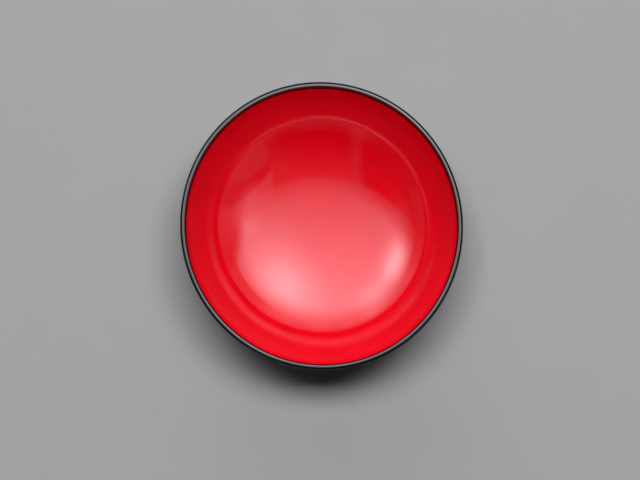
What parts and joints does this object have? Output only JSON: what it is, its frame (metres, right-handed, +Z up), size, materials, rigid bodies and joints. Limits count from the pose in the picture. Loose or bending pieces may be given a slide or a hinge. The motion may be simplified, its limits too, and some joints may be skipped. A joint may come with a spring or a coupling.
{
  "type": "lacquer bowl",
  "caption": "Round footed bowl with a red spherical hollow and a black half-round lip, wall and foot: turned wood under cloth, ground and lacquer, for serving food.",
  "frame": {"origin": "on the bowl's axis, on the surface that the foot stands on", "axes": "+Z up out of the mouth, +Y along the long axis of the slightly oval rim, +X across it"},
  "size_m": [0.2246, 0.2294, 0.0854],
  "materials": {
    "turned_wood": "turned and sanded",
    "hemp_cloth": "plain weave, soaked in lacquer",
    "ground_coat": "matt, rubbed flat",
    "red_lacquer": "high gloss",
    "black_lacquer": "high gloss"
  },
  "bodies": {
    "root": {"wood_core": "turned_wood", "foot_ring": "turned_wood", "rim_cloth": "hemp_cloth", "foot_cloth": "hemp_cloth", "inner_ground": "ground_coat", "outer_ground": "ground_coat", "foot_ground": "ground_coat", "inner_lacquer": "red_lacquer", "rim_lacquer": "black_lacquer", "outer_lacquer": "black_lacquer", "foot_lacquer": "black_lacquer", "base_lacquer": "black_lacquer"}
  },
  "joints": []
}
